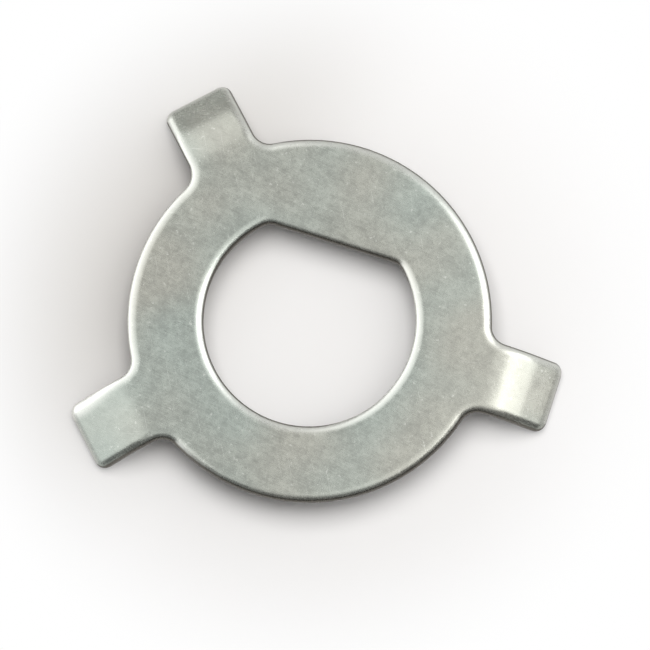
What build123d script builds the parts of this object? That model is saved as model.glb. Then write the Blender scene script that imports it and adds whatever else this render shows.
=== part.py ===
from build123d import *
import math
import os

os.makedirs("parts", exist_ok=True)

# Sheet the washer is stamped from
sheet_thickness = 1.2
# Soft edge that the punch draws down all round the upper face
rolled_edge_radius = 0.9

# Ring
ring_radius = 22.0

# Shaft hole, round with one flat side toward +Y
hole_radius = 12.8
flat_distance = 9.8
hole_corner_radius = 2.0

# Tabs, as directions round the axis in degrees from +X
tab_directions = (0, 135, 225)
tab_width = 8.7
root_fillet_radius = 2.3
tip_corner_radius = 1.4

# Bend that turns each tab down, with its radius taken on the underside
bend_angle = 35.0
bend_inside_radius = 6.4
# Short flat left between the root fillet and the bend line
bend_clearance = 0.2
# Straight end of the tab past the bend
straight_tip_length = 4.0

# The root fillet runs into the tab's side this far from the axis
root_centre_distance = ring_radius + root_fillet_radius
root_centre_offset = tab_width / 2 + root_fillet_radius
root_fillet_end = math.sqrt(root_centre_distance**2 - root_centre_offset**2)
bend_start = root_fillet_end + bend_clearance

# One tab in side view, from the bend line outward along +X, its upper surface level with the ring's
with BuildPart() as bent_tab:
    with BuildSketch(Plane.XZ) as tab_side_view:
        with BuildLine():
            underside_arc = CenterArc((bend_start, -bend_inside_radius), bend_inside_radius, 90, -bend_angle)
            PolarLine(underside_arc @ 1, straight_tip_length, angle=-bend_angle)
            offset(amount=sheet_thickness, side=Side.LEFT)
        make_face()
    extrude(amount=tab_width / 2, both=True)
    end_wall = bent_tab.faces().sort_by(Axis.X)[-1]
    fillet(end_wall.edges().sort_by(SortBy.LENGTH)[:2], radius=tip_corner_radius)

with BuildPart() as tab_lock_washer:
    # Stamped blank up to the bend lines
    with BuildSketch() as blank_outline:
        Circle(ring_radius)
        for direction in tab_directions:
            with Locations(Location((0, 0, 0), (0, 0, direction))):
                Rectangle(bend_start, tab_width, align=(Align.MIN, Align.CENTER))
        # The corners where tabs meet the ring are the ones nearest the axis
        root_corners = blank_outline.vertices().group_by(SortBy.DISTANCE)[0]
        fillet(root_corners, radius=root_fillet_radius)
    extrude(amount=sheet_thickness)
    for direction in tab_directions:
        with Locations(Location((0, 0, 0), (0, 0, direction))):
            add(bent_tab.part)

    # Shaft hole with its flat, the two corners softened
    with BuildSketch() as hole_outline:
        Circle(hole_radius)
        with Locations((0, flat_distance)):
            Rectangle(2 * hole_radius, hole_radius, align=(Align.CENTER, Align.MIN), mode=Mode.SUBTRACT)
        fillet(hole_outline.vertices(), radius=hole_corner_radius)
    extrude(amount=sheet_thickness, mode=Mode.SUBTRACT)

    # Soft punched edge round the whole upper side, hole and tabs included: the upper faces lean no more
    # than the bend does, and an edge that only one of them has lies on the outline
    least_upward = math.cos(math.radians(bend_angle)) / 2
    upper_faces = [face for face in tab_lock_washer.faces() if face.normal_at().Z > least_upward]
    upper_edges = [edge for face in upper_faces for edge in face.edges()]
    rolled_edges = [edge for edge in upper_edges if sum(edge.is_same(other) for other in upper_edges) == 1]
    fillet(rolled_edges, radius=rolled_edge_radius)

tab_lock_washer.part.label = "tab_lock_washer"
export_step(tab_lock_washer.part, "parts/tab_lock_washer.step")
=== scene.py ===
# %% [markdown]
# # A tab lock washer
#
# The washer is one stamping: a ring of sheet steel with a flat-sided shaft hole and three tabs,
# bent a little away from the face that the punch rounded off. It is zinc plated, with a satin grey
# shine. This lesson loads the measured solid first, because every later step is set against its
# box, and a size that drifts shows in the two boxes that are printed, the solid's here and the
# visible one at the end.

# %% Load the measured part
import math

import bpy
import numpy as np
from mathutils import Matrix, Vector


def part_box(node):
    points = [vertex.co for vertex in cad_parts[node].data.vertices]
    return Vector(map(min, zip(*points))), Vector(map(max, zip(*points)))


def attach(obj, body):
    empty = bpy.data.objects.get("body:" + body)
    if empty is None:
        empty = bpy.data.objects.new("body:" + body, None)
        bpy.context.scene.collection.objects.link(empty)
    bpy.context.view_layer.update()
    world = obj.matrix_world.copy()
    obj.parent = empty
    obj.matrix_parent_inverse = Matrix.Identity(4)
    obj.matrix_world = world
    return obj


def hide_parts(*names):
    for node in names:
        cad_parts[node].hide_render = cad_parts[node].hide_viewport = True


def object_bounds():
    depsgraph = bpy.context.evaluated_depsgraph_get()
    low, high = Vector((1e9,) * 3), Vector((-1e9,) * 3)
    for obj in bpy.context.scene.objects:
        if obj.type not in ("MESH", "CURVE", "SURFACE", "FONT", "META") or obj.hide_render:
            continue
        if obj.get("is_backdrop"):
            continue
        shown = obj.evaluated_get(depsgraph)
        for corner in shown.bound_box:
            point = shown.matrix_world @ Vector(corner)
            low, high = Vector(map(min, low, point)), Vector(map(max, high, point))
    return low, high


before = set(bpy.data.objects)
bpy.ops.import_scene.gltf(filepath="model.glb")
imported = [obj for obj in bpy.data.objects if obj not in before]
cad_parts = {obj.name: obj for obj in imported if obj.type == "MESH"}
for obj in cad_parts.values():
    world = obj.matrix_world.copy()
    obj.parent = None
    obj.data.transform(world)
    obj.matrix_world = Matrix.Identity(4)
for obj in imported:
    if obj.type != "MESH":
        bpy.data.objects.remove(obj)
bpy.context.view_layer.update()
part_low, part_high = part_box("tab_lock_washer")
MILLIMETRE = 0.001
print("washer box in mm:", [round(side / MILLIMETRE, 2) for side in part_high - part_low])

# %% [markdown]
# ## Sizes of the stamping
#
# A washer like this is drawn by its die: the blank's outline, the sheet, the bend. The outline
# is the solid's own, in millimetres. The bend starts a little earlier than the solid's and turns
# on a larger radius toward the same tip, so that it leaves the root fillets in one soft curve,
# as pressed sheet does. How far the flat tab reaches follows from it, because the middle of the
# sheet keeps its length.

# %% Sizes of the blank and the bend
SHEET = 1.2
RING_RADIUS = 22.0
HOLE_RADIUS = 12.8
FLAT_DISTANCE = 9.8
HOLE_CORNER = 2.0
TAB_DIRECTIONS = (0.0, 135.0, 225.0)
TAB_HALF_WIDTH = 4.35
ROOT_FILLET = 2.3
TIP_CORNER = 1.4
BEND_ANGLE = math.radians(32.5)
BEND_INSIDE = 8.9
BEND_LEAD = 0.9
TIP_STRAIGHT = 3.84

root_offset = TAB_HALF_WIDTH + ROOT_FILLET
root_x = math.sqrt((RING_RADIUS + ROOT_FILLET) ** 2 - root_offset**2)
bend_start = root_x - BEND_LEAD
bend_middle = BEND_INSIDE + SHEET / 2
bend_length = bend_middle * BEND_ANGLE
blank_reach = bend_start + bend_length + TIP_STRAIGHT
print("flat tab reaches", round(blank_reach, 2), "mm from the axis before it is bent")

# %% [markdown]
# ## Arcs and lines
#
# The outline is a chain of arcs and straight lines. It could be drawn as a curve object, but
# the edge has to be rolled, sheared and bent, so plain arrays of points serve better: each
# comes with the direction that leads out of the metal there, and a step inward is then one
# subtraction. Points sit closer together on small radii, which keeps corners round.

# %% Arcs and lines with their outward directions
POINT_SPACING = 0.34
SPACING_PER_RADIUS = 0.14


def arc(centre, radius, start, end, outward=1.0):
    """Points on a circle from one angle to another, the last left off: centre + radius times
    (cos, sin). The outward direction is the radial one, or its opposite on a hollow corner."""
    spacing = min(POINT_SPACING, radius * SPACING_PER_RADIUS)
    count = max(3, math.ceil(abs(end - start) * radius / spacing))
    angle = start + (end - start) * np.arange(count) / count
    radial = np.stack([np.cos(angle), np.sin(angle)], axis=1)
    return np.array(centre) + radius * radial, outward * radial


def line(start, end, outward):
    """Evenly spaced points from start to end, the last left off, with one outward direction."""
    start, end = np.array(start), np.array(end)
    count = max(2, math.ceil(np.linalg.norm(end - start) / POINT_SPACING))
    share = (np.arange(count) / count)[:, None]
    return start + (end - start) * share, np.tile(outward, (count, 1))


def turned(points, degrees):
    """Points or directions turned about the hole's axis: x cos - y sin, x sin + y cos."""
    angle = math.radians(degrees)
    turn = np.array([[math.cos(angle), -math.sin(angle)], [math.sin(angle), math.cos(angle)]])
    return points @ turn.T


corner_points, _ = arc((0.0, 0.0), TIP_CORNER, 0.0, math.pi / 2)
print("points round one tip corner:", len(corner_points))

# %% [markdown]
# ## The outer outline
#
# One tab is written out once, pointing along +X, and turned to each of the three directions,
# with the ring's own arcs between them, so the three are alike as the die makes them. The
# outline runs counter-clockwise and closes on itself.

# %% The outer outline, ring and tabs
root_lean = math.atan2(root_offset, root_x)


def tab_outline():
    """The outline round one tab that points along +X, from root to root: hollow fillet,
    straight side, rounded corner, tip, and the same back again."""
    corner_x = blank_reach - TIP_CORNER
    corner_y = TAB_HALF_WIDTH - TIP_CORNER
    quarter = math.pi / 2
    return [
        arc((root_x, -root_offset), ROOT_FILLET, math.pi - root_lean, quarter, outward=-1.0),
        line((root_x, -TAB_HALF_WIDTH), (corner_x, -TAB_HALF_WIDTH), (0.0, -1.0)),
        arc((corner_x, -corner_y), TIP_CORNER, -quarter, 0.0),
        line((blank_reach, -corner_y), (blank_reach, corner_y), (1.0, 0.0)),
        arc((corner_x, corner_y), TIP_CORNER, 0.0, quarter),
        line((corner_x, TAB_HALF_WIDTH), (root_x, TAB_HALF_WIDTH), (0.0, 1.0)),
        arc((root_x, root_offset), ROOT_FILLET, -quarter, root_lean - math.pi, outward=-1.0),
    ]


def outer_outline():
    """The whole outer outline, counter-clockwise: each tab's outline turned to its direction,
    then the ring's arc that leads to the next tab."""
    pieces = []
    following = TAB_DIRECTIONS[1:] + (TAB_DIRECTIONS[0] + 360.0,)
    for direction, next_direction in zip(TAB_DIRECTIONS, following):
        pieces += [(turned(p, direction), turned(n, direction)) for p, n in tab_outline()]
        ring_start = math.radians(direction) + root_lean
        ring_end = math.radians(next_direction) - root_lean
        pieces.append(arc((0.0, 0.0), RING_RADIUS, ring_start, ring_end))
    points = np.concatenate([p for p, _ in pieces])
    outward = np.concatenate([n for _, n in pieces])
    return points, outward


outer_points, outer_outward = outer_outline()
print("points round the outline:", len(outer_points))

# %% [markdown]
# ## The hole
#
# The shaft hole is a circle cut off by one flat, with its two corners eased. Every point of
# the outer outline can be seen from the axis, so each gets its partner on the hole's edge
# where the ray between them crosses it, and the ring between the two is one clean grid.


# %% The hole's edge, met by rays from the axis
def hole_edge(angle):
    """Where a ray at each angle meets the hole's edge: the flat at distance / sin, the circle
    elsewhere, and between them the corner's small circle, by the ray and circle formula.
    The direction out of the metal points into the hole."""
    ray = np.stack([np.cos(angle), np.sin(angle)], axis=1)
    corner_y = FLAT_DISTANCE - HOLE_CORNER
    corner_x = math.sqrt((HOLE_RADIUS - HOLE_CORNER) ** 2 - corner_y**2)
    corner = np.full_like(ray, corner_y)
    corner[:, 0] = np.where(ray[:, 0] > 0, corner_x, -corner_x)

    from_flat = np.abs(np.angle(np.exp(1j * (angle - math.pi / 2))))
    on_flat = from_flat < math.atan2(corner_x, FLAT_DISTANCE)
    on_corner = ~on_flat & (from_flat < math.atan2(corner_x, corner_y))

    along = (ray * corner).sum(axis=1)
    under_root = along**2 - (corner**2).sum(axis=1) + HOLE_CORNER**2
    corner_reach = along + np.sqrt(np.maximum(under_root, 0.0))
    flat_reach = FLAT_DISTANCE / np.maximum(ray[:, 1], 0.1)
    reach = np.select([on_flat, on_corner], [flat_reach, corner_reach], HOLE_RADIUS)
    points = ray * reach[:, None]

    outward = -ray
    outward[on_corner] = (corner - points)[on_corner] / HOLE_CORNER
    outward[on_flat] = (0.0, -1.0)
    return points, outward


hole_points, hole_outward = hole_edge(np.arctan2(outer_points[:, 1], outer_points[:, 0]))
across_flat = float(hole_points[:, 1].max() - hole_points[:, 1].min())
print("hole across its flat:", round(across_flat, 2), "mm")

# %% [markdown]
# ## The punched edge
#
# The punch draws the upper edge down in a soft roll, shears a plumb band below it, and leaves a
# thin torn band at the foot, where the sheet breaks away. The roll could be a plain round as in
# the solid, but the sheen along the edges is broad and the edge is not that deep, so here it is
# a quarter ellipse, wider than it is high.

# %% The edge in section, from the foot to the upper face
ROLL_WIDTH = 1.25
ROLL_DEPTH = 0.70
TORN_HEIGHT = 0.2
ROLL_STEPS = 12
FOOT_INWARD = (0.14, 0.035, 0.010, 0.0, 0.0)
FOOT_HEIGHT = (0.0, 0.0, 0.014, 0.05, TORN_HEIGHT)


def edge_section():
    """The punched edge from the underside up, as steps inward and heights: a small break at
    the foot, the plumb band, then a quarter ellipse, inward = width (1 - cos),
    height = sheet - depth (1 - sin)."""
    quarter = np.linspace(0.0, math.pi / 2, ROLL_STEPS)
    roll_inward = ROLL_WIDTH * (1 - np.cos(quarter))
    roll_height = SHEET - ROLL_DEPTH * (1 - np.sin(quarter))
    inward = np.append(FOOT_INWARD, roll_inward[:-1])
    return inward, np.append(FOOT_HEIGHT, roll_height[:-1])


edge_inward, edge_height = edge_section()
print("plumb band below the roll:", round(SHEET - ROLL_DEPTH, 2), "mm high")

# %% [markdown]
# ## The whole section
#
# Cut the washer anywhere from hole to rim and the same closed section shows: up the hole's
# edge, across the upper face, down the rim's edge, and back underneath. Carried round the blank
# it gives the whole skin in one go, closed both ways, with no seam to weld. Each station says
# how far it lies from hole to rim, how far in from the nearest edge, and how high.

# %% Stations of the section
UPPER_STEPS = 34
UNDER_STEPS = 22
BEND_ZONE = (0.5, 0.86)
BEND_DENSITY = 2.4


def closer_over_the_bend(count):
    """Shares from 0 to 1 between hole and rim, packed more closely where the bend lies:
    the running total of a density that is higher there, scaled to end at 1."""
    fine = np.linspace(0.0, 1.0, 400)
    density = np.where((fine > BEND_ZONE[0]) & (fine < BEND_ZONE[1]), BEND_DENSITY, 1.0)
    total = np.concatenate([[0.0], np.cumsum((density[1:] + density[:-1]) / 2)])
    return np.interp(np.linspace(0.0, 1.0, count), total / total[-1], fine)


upper_share = closer_over_the_bend(UPPER_STEPS)
under_share = closer_over_the_bend(UNDER_STEPS)[-2:0:-1]
upper_inward = np.full(UPPER_STEPS, ROLL_WIDTH)
under_inward = np.full(len(under_share), edge_inward[0])
hole_share, rim_share = np.zeros(len(edge_inward)), np.ones(len(edge_inward))

station_share = np.concatenate([hole_share, upper_share, rim_share, under_share])
station_inward = np.concatenate([edge_inward, upper_inward, edge_inward[::-1], under_inward])
station_height = np.concatenate(
    [edge_height, np.full(UPPER_STEPS, SHEET), edge_height[::-1], np.zeros(len(under_share))]
)
print("stations in the section:", len(station_share))

# %% [markdown]
# ## The skin of the flat blank
#
# Outline and section make a grid. A point of it lies a share of the way from its place on the
# hole's edge to its place on the rim, moved inward from the edge by the station's step. The outward
# direction is mixed in the same way, and is kept for the finish, whose painted sheen and painted
# shade differ from one side of the punched edge to the other.


# %% The grid of the blank, outline by section
def hole_to_rim(at_hole, at_rim):
    """Pairs at every point and station: hole (1 - share) + rim share."""
    share = station_share[None, :, None]
    return at_hole[:, None, :] * (1 - share) + at_rim[:, None, :] * share


def with_height(plan, height):
    """A grid of plan pairs with one height for each station, as a grid of three coordinates."""
    height = np.broadcast_to(height[None, :, None], plan.shape[:2] + (1,))
    return np.concatenate([plan, height], axis=2)


edge_outward = hole_to_rim(hole_outward, outer_outward)
blank_plan = hole_to_rim(hole_points, outer_points) - edge_outward * station_inward[None, :, None]
blank = with_height(blank_plan, station_height)
edge_outward = with_height(edge_outward, np.zeros(len(station_height)))
print("blank across Y:", round(float(np.ptp(blank[..., 1])), 2), "mm")

# %% [markdown]
# ## Bending the tabs
#
# The press folds each tab over a rounded edge. A bend modifier would turn the whole piece, so
# the fold is written out: past the bend line a point turns about the bend's centre by the
# arc it has used up, and past the arc it runs on straight. The middle of the sheet keeps its
# length, the upper fibres stretch and the lower ones shorten, as they do in the press.


# %% The fold, once for each tab
def folded(points, degrees):
    """Tab folded down: with s the way past the bend line and r the radius at this height, the
    place is bend line + r sin(s / middle), height r cos(s / middle) - inside radius, and past
    the arc the rest of s runs on along the slope."""
    flat_xy = turned(points[..., :2], -degrees)
    past = flat_xy[..., 0] - bend_start
    on_tab = (past > 0) & (np.abs(flat_xy[..., 1]) < root_offset)
    turn = np.clip(past / bend_middle, 0.0, BEND_ANGLE)
    straight = np.maximum(past - bend_length, 0.0)
    radius = BEND_INSIDE + points[..., 2]
    along = bend_start + radius * np.sin(turn) + straight * math.cos(BEND_ANGLE)
    height = radius * np.cos(turn) - BEND_INSIDE - straight * math.sin(BEND_ANGLE)
    bent_xy = turned(np.stack([along, flat_xy[..., 1]], axis=-1), degrees)
    bent = np.concatenate([bent_xy, height[..., None]], axis=-1)
    return np.where(on_tab[..., None], bent, points)


skin = blank
for direction in TAB_DIRECTIONS:
    skin = folded(skin, direction)
print("lowest point of the folded skin:", round(float(skin[..., 2].min()), 3), "mm")

# %% [markdown]
# ## Faces that look outward
#
# The grid closes on itself both ways, so each cell's four corners follow from its row and
# column. The volume inside tells whether the faces look outward, and it can be weighed
# against the solid's.


# %% Faces of the grid and the volume inside
def grid_faces(rows, columns):
    """Corners of each cell of a grid that closes both ways: (i, j), (i+1, j), (i+1, j+1),
    (i, j+1)."""
    i, j = np.meshgrid(np.arange(rows), np.arange(columns), indexing="ij")
    next_i, next_j = (i + 1) % rows, (j + 1) % columns
    corners = [(i, j), (next_i, j), (next_i, next_j), (i, next_j)]
    return np.stack([(row * columns + column).ravel() for row, column in corners], axis=1)


def enclosed(points, faces):
    """Volume inside closed four-sided faces: a sixth of the sum of a . (b x c) over the
    triangles. It is negative when the faces look inward."""
    a, b, c, d = (points[faces[:, k]] for k in range(4))
    first = np.einsum("ij,ij->i", a, np.cross(b, c))
    second = np.einsum("ij,ij->i", a, np.cross(c, d))
    return (first.sum() + second.sum()) / 6


skin_points = skin.reshape(-1, 3)
skin_faces = grid_faces(*skin.shape[:2])
volume = enclosed(skin_points, skin_faces)
if volume < 0:
    skin_faces = skin_faces[:, ::-1]
print("metal inside the skin:", round(abs(volume), 1), "cubic mm")

# %% [markdown]
# ## From arrays to a mesh
#
# The mesh takes the whole skin as it is and stands in for the solid in the picture. It also
# carries what only the grid knows: the place on the flat blank, so that the rolling grain
# follows the metal round the bend, how near the edge is and which way it faces, and the height
# in the sheet.


# %% Build the visible washer
def store(mesh, name, kind, values):
    """Keeps one value per point on the mesh under a name, for the material to read."""
    attribute = mesh.attributes.new(name, kind, "POINT")
    field = "vector" if kind == "FLOAT_VECTOR" else "value"
    attribute.data.foreach_set(field, np.ascontiguousarray(values, dtype=np.float32).ravel())


washer_mesh = bpy.data.meshes.new("zinc_washer")
washer_mesh.from_pydata(skin_points * MILLIMETRE, [], skin_faces.tolist())
washer_mesh.polygons.foreach_set("use_smooth", np.ones(len(skin_faces), dtype=bool))
grid_shape = skin.shape[:2]
store(washer_mesh, "blank_place", "FLOAT_VECTOR", blank)
store(washer_mesh, "edge_outward", "FLOAT_VECTOR", edge_outward)
store(washer_mesh, "edge_inset", "FLOAT", np.broadcast_to(station_inward, grid_shape))
store(washer_mesh, "sheet_height", "FLOAT", np.broadcast_to(station_height, grid_shape))
washer_mesh.validate()

zinc_washer = bpy.data.objects.new("zinc_washer", washer_mesh)
bpy.context.scene.collection.objects.link(zinc_washer)
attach(zinc_washer, "root")
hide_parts("tab_lock_washer")
print("visible washer:", len(skin_faces) * 2, "triangles")

# %% [markdown]
# ## A little class for shader sums
#
# Materials need many small sums. Wrapping a socket in a class with its own plus, minus and
# times lets a finish be written as it is thought of, and each sum adds its Math node. Every
# other node comes from one method: kind, settings, then what goes into its sockets.


# %% Sockets that can be added and multiplied
class Flow:
    """A value on its way through a material's nodes."""

    def __init__(self, tree, socket=None):
        self.tree = tree
        self.socket = socket

    def node(self, kind, settings=None, sockets=None, output=0):
        """Adds one node: first its settings, then a value or a link for each named socket."""
        made = self.tree.nodes.new(kind)
        for name, value in (settings or {}).items():
            setattr(made, name, value)
        for name, value in (sockets or {}).items():
            if isinstance(value, Flow):
                self.tree.links.new(value.socket, made.inputs[name])
            else:
                made.inputs[name].default_value = value
        return Flow(self.tree, made.outputs[output]) if made.outputs else None

    def maths(self, operation, first, second):
        return self.node("ShaderNodeMath", {"operation": operation}, {0: first, 1: second})

    def __add__(self, other):
        return self.maths("ADD", self, other)

    __radd__ = __add__

    def __sub__(self, other):
        return self.maths("SUBTRACT", self, other)

    def __rsub__(self, other):
        return self.maths("SUBTRACT", other, self)

    def __mul__(self, other):
        return self.maths("MULTIPLY", self, other)

    __rmul__ = __mul__

    def ramp(self, low, high):
        """0 below low, 1 above high, a smooth rise between them."""
        settings = {"interpolation_type": "SMOOTHSTEP"}
        sockets = {"Value": self, "From Min": low, "From Max": high}
        return self.node("ShaderNodeMapRange", settings, sockets)

    def between(self, first, second):
        """The mix of two colours, by this value."""
        sockets = {"Factor": self, 6: first, 7: second}
        return self.node("ShaderNodeMix", {"data_type": "RGBA"}, sockets, output=2)


def colour(red, green, blue):
    """A colour as a shader takes it, with its alpha."""
    return (red, green, blue, 1.0)


def empty_tree(owner):
    """A Flow at the start of a material's or world's cleared nodes."""
    owner.use_nodes = True
    owner.node_tree.nodes.clear()
    return Flow(owner.node_tree)


print("Flow has", sum(callable(method) for method in vars(Flow).values()), "methods")

# %% [markdown]
# ## Patterns on the blank
#
# All patterns are laid out in millimetres on the flat blank, so they bend with the metal and
# keep their size. Long streaks, such as the rolling grain, are the same noise stretched one way
# and turned in the plane of the sheet.

# %% Noise in millimetres
GRAIN_DEGREES = 8.0


def turned_place(flow, place, degrees):
    """The same place with the pattern turned in the plane of the sheet."""
    sockets = {"Vector": place, "Rotation": (0.0, 0.0, math.radians(degrees))}
    return flow.node("ShaderNodeMapping", {"vector_type": "POINT"}, sockets)


def noise(flow, place, size, detail=2.0, roughness=0.5, seed=0.0):
    """Smooth random tone from 0 to 1, with features about size[0] by size[1] millimetres."""
    along, across = size
    shift = (seed, seed * 1.7, seed * 0.6)
    scale = (1 / along, 1 / across, 1 / across)
    sockets = {"Vector": place, "Location": shift, "Scale": scale}
    moved = flow.node("ShaderNodeMapping", {"vector_type": "POINT"}, sockets)
    sockets = {"Vector": moved, "Scale": 1.0, "Detail": detail, "Roughness": roughness}
    return flow.node("ShaderNodeTexNoise", {"noise_dimensions": "3D"}, sockets)


def blank_patterns(flow, place):
    """The plating's own patterns, from the drift across the part down to its sparkle."""
    grain_place = turned_place(flow, place, GRAIN_DEGREES)
    return {
        "drift": noise(flow, place, (16.0, 16.0), detail=1.0, seed=3.1),
        "cloud": noise(flow, place, (3.4, 3.4), detail=3.0, roughness=0.6, seed=7.7),
        "mottle": noise(flow, place, (0.75, 0.75), detail=3.0, roughness=0.7, seed=13.3),
        "grain": noise(flow, grain_place, (3.0, 0.16), detail=3.0, roughness=0.6, seed=1.3),
        "sparkle": noise(flow, place, (0.15, 0.15), detail=2.0, roughness=0.6, seed=5.2),
    }


print("rolling grain lies", GRAIN_DEGREES, "degrees from the single tab")

# %% [markdown]
# ## Traces of handling, and one painted sheen
#
# Parts are plated by the barrelful and tumble against each other, so they come out with small pits,
# bright flecks and fine marks that run two ways across. These are the part's own. One tab's outer
# corner is drawn brighter than the rest as a painted sheen, and the bright band fades along its
# edge. Traces like these keep three equal tabs from looking copied.

# %% Pits, flecks, marks and one corner's painted sheen
# Where one tab's painted sheen lies on the blank.
SHEEN_TAB = 225.0
SHEEN_CORNER = (30.2, -4.1)
SHEEN_REACH = (7.5, 2.1)
RUB_DEGREES = 61.0
SCUFF_DEGREES = -12.0


def painted_corner_sheen(flow, place):
    """Painted sheen, 1 at one tab's outer corner and fading along its edge and sooner across it:
    one minus the length of ((along - corner) / reach, (across - corner) / reach)."""
    along, across = SHEEN_REACH
    shift = (-SHEEN_CORNER[0] / along, -SHEEN_CORNER[1] / across, 0.0)
    on_tab = turned_place(flow, place, -SHEEN_TAB)
    sockets = {"Vector": on_tab, "Location": shift, "Scale": (1 / along, 1 / across, 0.0)}
    away = flow.node("ShaderNodeMapping", {"vector_type": "POINT"}, sockets)
    away = flow.node("ShaderNodeVectorMath", {"operation": "LENGTH"}, {0: away}, output="Value")
    return 1.0 - away.ramp(0.30, 1.0)


def handling(flow, place):
    """How much of a point is pit, bright fleck, fine mark or painted sheen at one tab's corner."""
    rub_place = turned_place(flow, place, RUB_DEGREES)
    scuff_place = turned_place(flow, place, SCUFF_DEGREES)
    rubs = noise(flow, rub_place, (5.0, 0.12), detail=1.0, seed=23.0).ramp(0.68, 0.80)
    scuffs = noise(flow, scuff_place, (3.6, 0.14), detail=1.0, seed=29.0).ramp(0.67, 0.80)
    return {
        "pits": noise(flow, place, (0.55, 0.55), seed=11.0).ramp(0.73, 0.84),
        "flecks": noise(flow, place, (0.5, 0.5), seed=17.0).ramp(0.66, 0.76),
        "marks": flow.maths("MAXIMUM", rubs, scuffs),
        # The corner value is a painted sheen, drawn brighter in the colour.
        "corner": painted_corner_sheen(flow, place),
    }


# The corner printed here carries painted sheen.
print("rubbed corner lies", round(math.hypot(*SHEEN_CORNER), 1), "mm from the axis on the blank")

# %% [markdown]
# ## Zones of the edge
#
# The roll of the edge is drawn brighter in the colour: partly the burnish of the plating barrel and
# partly painted sheen. The plumb band just below it is dull steel, and its darker colour also
# paints a thin dark outline, a painted reflection of dark surroundings; the torn foot is rougher
# still. By the outward direction, edges toward the lit left get a narrower dark band, painted
# sheen, and edges toward the viewer get a wider dark band and a dimmer roll, painted shade.

# %% How much of a point is rolled, dull or torn, with painted sheen and shade by side
# Edges facing this way, toward the lit left, get a narrower dark band: painted sheen.
EDGE_SHEEN_SIDE = 170.0
# Edges facing this way, toward the viewer, get a wider dark band and a dimmer roll: painted shade.
EDGE_SHADE_SIDE = 302.0
# Width of the dark band: dull steel and a painted dark outline.
SHEARED_AND_SHADE_BAND = (0.08, 0.28)


def facing(flow, outward, degrees):
    """How far a direction or place lies toward one direction in the sheet's plane: their dot
    product, which for an edge is 1 along it and -1 against it."""
    direction = (math.cos(math.radians(degrees)), math.sin(math.radians(degrees)), 0.0)
    settings = {"operation": "DOT_PRODUCT"}
    return flow.node("ShaderNodeVectorMath", settings, {0: outward, 1: direction}, output="Value")


def edge_zones(flow):
    """The shares at a point of the roll, of the dull band with its painted dark outline, and of the
    torn foot, by its inset, its side and its height. The roll carries painted sheen, and the sides
    carry painted sheen and painted shade.
    """
    inset = flow.node("ShaderNodeAttribute", {"attribute_name": "edge_inset"}, output=2)
    height = flow.node("ShaderNodeAttribute", {"attribute_name": "sheet_height"}, output=2)
    outward = flow.node("ShaderNodeAttribute", {"attribute_name": "edge_outward"}, output=1)
    sheen_side = facing(flow, outward, EDGE_SHEEN_SIDE).ramp(0.50, 0.85)
    shade_side = facing(flow, outward, EDGE_SHADE_SIDE).ramp(0.40, 0.80)
    # The roll's brightness, less on the viewer's side: partly burnish, partly painted sheen and
    # painted shade.
    rolled = (1.0 - inset.ramp(0.1, ROLL_WIDTH)) * (1.0 - shade_side * 0.85)
    # The dull band, also a painted dark outline: wider on the viewer's side, narrower on the left.
    sheared_and_shade = 1.0 - (inset + sheen_side * 0.2 - shade_side * 0.15).ramp(*SHEARED_AND_SHADE_BAND)
    at_foot = 1.0 - height.ramp(TORN_HEIGHT - 0.06, TORN_HEIGHT + 0.08)
    torn = at_foot * (1.0 - inset.ramp(0.03, 0.12))
    return rolled, sheared_and_shade, torn


# The dull band is also a painted dark outline.
print("dull band fades out", SHEARED_AND_SHADE_BAND[1], "mm in from the edge")

# %% [markdown]
# ## Satin zinc
#
# Barrel-plated zinc is a bright metal with a soft, slightly cloudy shine. Across the part the
# tone drifts between a cool green grey and a warmer one, and close up it is mottled, with a fine
# sparkle. The same patterns lift the roughness and the relief, so that a spot that is paler also
# shines and stands a little differently, as it does on plated metal.

# %% Plate the washer
COOL_ZINC = colour(0.290, 0.321, 0.293)
WARM_ZINC = colour(0.316, 0.317, 0.281)
# Bright zinc for burnish, flecks and marks, and for painted sheen on the roll and one tab's corner.
RUBBED_AND_SHEEN_ZINC = colour(0.740, 0.745, 0.705)
# Dark steel of the dull band, also used to paint a dark outline as painted shade.
SHEARED_AND_SHADE_STEEL = colour(0.120, 0.112, 0.098)
SATIN_ROUGHNESS = 0.26


def zinc_colour(flow, pattern, trace, rolled, sheared_and_shade, torn):
    """Cool to warm by the drift, darker and lighter by the patterns, then brighter on the roll, the
    flecks and the marks, with painted sheen on the roll and on one tab's corner, and dark in the
    dull band at the edge, which also paints a dark outline as painted shade."""
    tone = (pattern["cloud"] - 0.5) * 0.30 + (pattern["mottle"] - 0.5) * 0.45
    tone = tone + (pattern["grain"] - 0.5) * 0.22 + (pattern["sparkle"] - 0.5) * 0.22
    lighter = (tone + 0.5).between(colour(0.5, 0.5, 0.5), colour(1.5, 1.5, 1.5))
    zinc = pattern["drift"].ramp(0.36, 0.66).between(COOL_ZINC, WARM_ZINC)
    settings = {"data_type": "RGBA", "blend_type": "MULTIPLY"}
    zinc = flow.node("ShaderNodeMix", settings, {"Factor": 1.0, 6: zinc, 7: lighter}, output=2)
    rubbed_and_sheen = rolled * 0.65 + trace["flecks"] * 0.25 + trace["marks"] * 0.15
    # Painted sheen on one tab's outer corner.
    rubbed_and_sheen = rubbed_and_sheen + trace["corner"] * 0.55
    dulled_and_shade = trace["pits"] * 0.15 + sheared_and_shade * 0.95 + torn * 0.05
    return dulled_and_shade.between(rubbed_and_sheen.between(zinc, RUBBED_AND_SHEEN_ZINC), SHEARED_AND_SHADE_STEEL)


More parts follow.
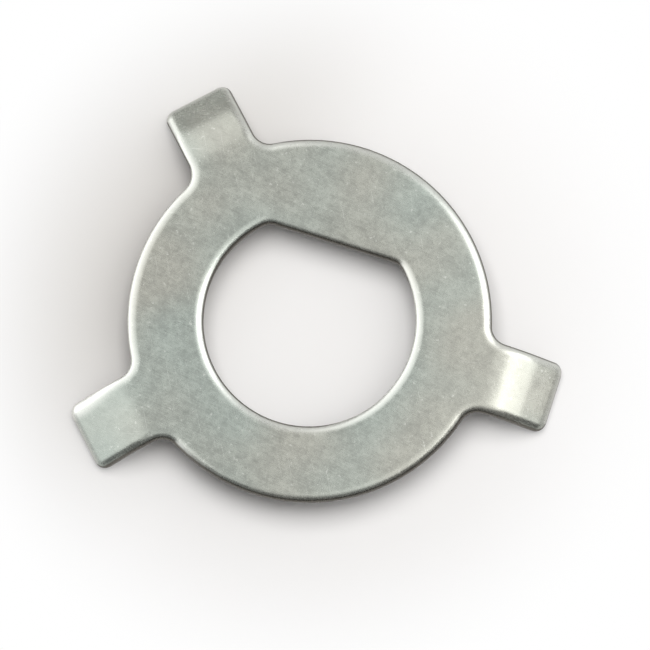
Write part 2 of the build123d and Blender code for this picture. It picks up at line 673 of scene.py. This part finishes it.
def zinc_roughness(pattern, trace, rolled, torn):
    """Satin, uneven with the patterns, rougher on the roll and the torn foot."""
    rough = SATIN_ROUGHNESS + (pattern["cloud"] - 0.5) * 0.10 + (pattern["mottle"] - 0.5) * 0.16
    rough = rough + (pattern["sparkle"] - 0.5) * 0.12 + (pattern["grain"] - 0.5) * 0.10
    return rough + rolled * 0.06 + torn * 0.16 + trace["pits"] * 0.06 - trace["marks"] * 0.05


def zinc_relief(pattern, trace, torn):
    """Heights in millimetres: a few thousandths for the patterns, more at the torn foot."""
    relief = pattern["grain"] * 0.0024 + pattern["mottle"] * 0.0050
    relief = relief + pattern["sparkle"] * 0.0024 + pattern["cloud"] * 0.008
    relief = relief - trace["pits"] * 0.003 - trace["marks"] * 0.002
    return relief + torn * pattern["sparkle"] * 0.02


def satin_zinc():
    """Zinc plating over rolled steel."""
    material = bpy.data.materials.new("satin_zinc")
    flow = empty_tree(material)
    place = flow.node("ShaderNodeAttribute", {"attribute_name": "blank_place"}, output=1)
    pattern, trace = blank_patterns(flow, place), handling(flow, place)
    rolled, sheared_and_shade, torn = edge_zones(flow)
    relief = zinc_relief(pattern, trace, torn)
    sockets = {"Strength": 1.0, "Distance": MILLIMETRE, "Height": relief}
    sockets = {
        "Base Color": zinc_colour(flow, pattern, trace, rolled, sheared_and_shade, torn),
        "Metallic": 1.0,
        "Roughness": zinc_roughness(pattern, trace, rolled, torn),
        "Normal": flow.node("ShaderNodeBump", {}, sockets),
    }
    shader = flow.node("ShaderNodeBsdfPrincipled", {}, sockets)
    flow.node("ShaderNodeOutputMaterial", {}, {"Surface": shader})
    return material


finish = satin_zinc()
washer_mesh.materials.append(finish)
print("finish:", finish.name, "with", len(finish.node_tree.nodes), "nodes")

# %% [markdown]
# ## The floor
#
# The washer lies on its three tab tips, as it comes to rest on a table. The floor is a plain pale
# sheet at the height of the lowest point, wide enough for every view. Near the washer it is matt
# card that takes the soft shadow under the raised ring, and its colour is a little greyer than
# white, a painted halo of shade, and greyer still on the left, painted shade on that side. Further
# out it turns to plain white for the camera and for reflections, by the kind of ray that meets it,
# so the background is bare white without any more light on the metal.

# %% A pale floor under the tab tips
FLOOR_HALF_SIDE = 1.5
CARD_ENDS = 0.022
WHITE_BEGINS = 0.046
# Painted shade: the card is greyer toward this side.
FLOOR_SHADE_SIDE = 165.0
# Greyer than white near the washer: a painted halo of shade that fades out with distance.
PALE_CARD = colour(0.805, 0.792, 0.781)
PAINTED_SHADE_CARD = colour(0.655, 0.635, 0.610)
WHITE = colour(1.0, 1.0, 1.0)


def seen_or_mirrored(flow):
    """1 for rays from the camera, from a mirror or through glass, 0 for rays that light."""
    camera_ray = flow.node("ShaderNodeLightPath", output="Is Camera Ray")
    glossy_ray = flow.node("ShaderNodeLightPath", output="Is Glossy Ray")
    glass_ray = flow.node("ShaderNodeLightPath", output="Is Transmission Ray")
    return flow.maths("MAXIMUM", flow.maths("MAXIMUM", camera_ray, glossy_ray), glass_ray)


def white_card():
    """Matt card, greyer near the washer as a painted halo of shade and greyer on one side as
    painted shade, that fades to plain white with the distance from the washer's axis."""
    material = bpy.data.materials.new("white_card")
    flow = empty_tree(material)
    place = flow.node("ShaderNodeTexCoord", output="Object")
    away = flow.node("ShaderNodeVectorMath", {"operation": "LENGTH"}, {0: place}, output="Value")
    # Painted shade on one side of the floor.
    painted_shade = facing(flow, place, FLOOR_SHADE_SIDE).ramp(0.002, 0.024)
    card = flow.node("ShaderNodeBsdfDiffuse", {}, {"Color": painted_shade.between(PALE_CARD, PAINTED_SHADE_CARD)})
    white = flow.node("ShaderNodeEmission", {}, {"Color": WHITE, "Strength": 1.0})
    share = away.ramp(CARD_ENDS, WHITE_BEGINS) * seen_or_mirrored(flow)
    surface = flow.node("ShaderNodeMixShader", {}, {0: share, 1: card, 2: white})
    flow.node("ShaderNodeOutputMaterial", {}, {"Surface": surface})
    return material


def pale_floor(height):
    """A square sheet at one height, four corners at plus and minus the half side."""
    side = FLOOR_HALF_SIDE
    corners = [(-side, -side, height), (side, -side, height)]
    corners += [(side, side, height), (-side, side, height)]
    mesh = bpy.data.meshes.new("pale_floor")
    mesh.from_pydata(corners, [], [(0, 1, 2, 3)])
    mesh.materials.append(white_card())
    floor = bpy.data.objects.new("pale_floor", mesh)
    bpy.context.scene.collection.objects.link(floor)
    floor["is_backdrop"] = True
    return floor


floor_height = float(skin_points[:, 2].min()) * MILLIMETRE
pale_floor(floor_height)
print("floor at", round(floor_height / MILLIMETRE, 3), "mm")

# %% [markdown]
# ## Soft panels
#
# Metal shows its surroundings, so its light is chosen by what each face mirrors. A point lamp
# would leave one hot spot on each curve, and a wide soft panel gives the even sheen of a studio.
# Each panel can be kept out of reflections, so that it lights the floor alone, or kept off the
# floor, so that it shows in the metal alone. Directions are counted from the single tab,
# counter-clockwise seen from above.

# %% A soft panel
PANEL_DISTANCE = 0.45


def soft_panel(name, azimuth, elevation, width, height, glow, mirrored=True, lights_floor=True):
    """A lit rectangle that faces the washer from a direction. Its power is glow times pi
    times its area, which makes its face that much brighter than the white behind it.
    With mirrored off the metal doesn't see it, and with lights_floor off matt things don't."""
    turn, lift = math.radians(azimuth), math.radians(elevation)
    across = math.cos(lift)
    toward = Vector((math.cos(turn) * across, math.sin(turn) * across, math.sin(lift)))
    lamp = bpy.data.lights.new(name, "AREA")
    lamp.shape = "RECTANGLE"
    lamp.size = width
    lamp.size_y = height
    lamp.energy = glow * math.pi * width * height
    panel = bpy.data.objects.new(name, lamp)
    panel.location = toward * PANEL_DISTANCE
    panel.rotation_euler = toward.to_track_quat("Z", "Y").to_euler()
    panel.visible_camera = False
    panel.visible_glossy = mirrored
    panel.visible_diffuse = lights_floor
    bpy.context.scene.collection.objects.link(panel)
    print(name, "shines with", round(lamp.energy, 2), "W")
    return panel


# %% [markdown]
# ## Studio walls
#
# A bright metal in an all-white room has no outline. A curved wall of dark cloth toward the
# viewer stays out of the picture, and the edges that turn that way mirror it and come out as
# thin dark lines. A pale foot under it keeps the tabs' ends light, and a low pale wall behind
# does the same for the far tabs.

# %% A curved wall of cloth
WALL_DISTANCE = 0.26
WALL_STRIPS = 24


def cloth(name, shade):
    """Matt grey cloth."""
    material = bpy.data.materials.new(name)
    flow = empty_tree(material)
    matt = flow.node("ShaderNodeBsdfDiffuse", {}, {"Color": colour(shade, shade, shade)})
    flow.node("ShaderNodeOutputMaterial", {}, {"Surface": matt})
    return material


def studio_wall(name, start, end, foot, top, shade):
    """A curved wall of cloth round the washer: (distance cos a, distance sin a, height) for
    angles a from start to end and heights from foot to top over the floor."""
    angles = np.radians(np.linspace(start, end, WALL_STRIPS + 1))
    angle, height = np.meshgrid(angles, floor_height + np.array([foot, top]), indexing="ij")
    reach = [WALL_DISTANCE * np.cos(angle), WALL_DISTANCE * np.sin(angle)]
    points = np.stack(reach + [height], axis=-1).reshape(-1, 3)
    strips = np.arange(WALL_STRIPS)[:, None] * 2 + np.array([0, 2, 3, 1])
    mesh = bpy.data.meshes.new(name)
    mesh.from_pydata(points, [], strips.tolist())
    mesh.materials.append(cloth(name, shade))
    wall = bpy.data.objects.new(name, mesh)
    wall.visible_camera = False
    bpy.context.scene.collection.objects.link(wall)
    wall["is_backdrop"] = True
    print(name, "stands", round(top - foot, 3), "m high")
    return wall


# %% [markdown]
# ## The surrounding white
#
# The world is plain white where the camera or a reflection sees it, and a weak grey where it
# lights, so that the panels shape the shadow on the floor.


# %% White to see, grey to light by
def surrounding(strength):
    """Grey all round for the light, and plain white for the camera and for reflections."""
    world = bpy.data.worlds.new("studio")
    bpy.context.scene.world = world
    flow = empty_tree(world)
    grey = flow.node("ShaderNodeBackground", {}, {"Color": WHITE, "Strength": strength})
    white = flow.node("ShaderNodeBackground", {}, {"Color": WHITE, "Strength": 1.0})
    mixed = flow.node("ShaderNodeMixShader", {}, {0: seen_or_mirrored(flow), 1: grey, 2: white})
    flow.node("ShaderNodeOutputWorld", {}, {"Surface": mixed})
    print("the surroundings light with", strength, "of white")


surrounding(0.15)

# %% [markdown]
# ## Placing walls and panels
#
# The key and side panels are kept out of reflections and make the shadows on the floor: a short
# one toward the viewer and a longer, fainter one to the left. The wide left panel and the low
# one under it draw the sheen on the left edges and on the left tabs, and the two right panels
# the bright band over the right tab's bend.

# %% Place the walls and the panels
studio_wall("dark_wall", 236.0, 351.0, foot=0.050, top=0.38, shade=0.30)
studio_wall("grey_foot", 236.0, 351.0, foot=0.0, top=0.050, shade=0.85)
studio_wall("grey_wall", 78.0, 148.0, foot=0.0, top=0.090, shade=1.00)
soft_panel("key_panel", 112.0, 70.0, width=0.34, height=0.34, glow=4.4, mirrored=False)
soft_panel("side_panel", 28.0, 40.0, width=0.50, height=0.36, glow=1.5, mirrored=False)
soft_panel("left_panel", 182.0, 46.0, width=0.90, height=0.52, glow=0.92, lights_floor=False)
soft_panel("low_left_panel", 176.0, 9.0, width=0.56, height=0.13, glow=1.3, lights_floor=False)
soft_panel("high_right_panel", 6.0, 72.0, width=0.36, height=0.28, glow=0.85)
soft_panel("right_panel", 24.0, 48.5, width=0.46, height=0.33, glow=2.3, lights_floor=False)

# %% [markdown]
# ## The camera
#
# The washer is seen from almost straight above, a little from the side across from the flat.
# The camera stands three quarters of a metre off with a long lens, so the view is nearly
# free of perspective, and it is rolled until the single tab points right and slightly down.

# %% Camera over the washer
VIEW_AZIMUTH = 37.5
VIEW_ELEVATION = 83.4
VIEW_ROLL = -19.8
VIEW_DISTANCE = 0.761
LENS = 350.0


def camera_over(target):
    """Stands off along azimuth and elevation, looks back, then rolls about its own axis."""
    turn, lift = math.radians(VIEW_AZIMUTH), math.radians(VIEW_ELEVATION)
    across = math.cos(lift)
    back = Vector((math.sin(turn) * across, -math.cos(turn) * across, math.sin(lift)))
    upright = (-back).to_track_quat("-Z", "Y").to_matrix().to_4x4()
    roll = Matrix.Rotation(math.radians(VIEW_ROLL), 4, "Z")
    data = bpy.data.cameras.new("camera")
    data.lens = LENS
    data.clip_start = 0.01
    data.clip_end = 20.0
    camera = bpy.data.objects.new("camera", data)
    camera.matrix_world = Matrix.Translation(target + back * VIEW_DISTANCE) @ upright @ roll
    bpy.context.scene.collection.objects.link(camera)
    bpy.context.scene.camera = camera
    return camera


camera = camera_over(Vector((0.0020, 0.0, SHEET * MILLIMETRE)))
bpy.context.scene.view_settings.view_transform = "Standard"
print("camera at", [round(place, 3) for place in camera.matrix_world.translation])

# %% [markdown]
# ## Print the visible box and finish
#
# The visible washer must fill the same space as the solid. Both boxes are printed, the solid's near
# the start and the visible one here.

# %% Write the visible box and finish
visible_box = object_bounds()
visible_size = visible_box[1] - visible_box[0]
print("visual box in mm:", [round(side / MILLIMETRE, 2) for side in visible_size])
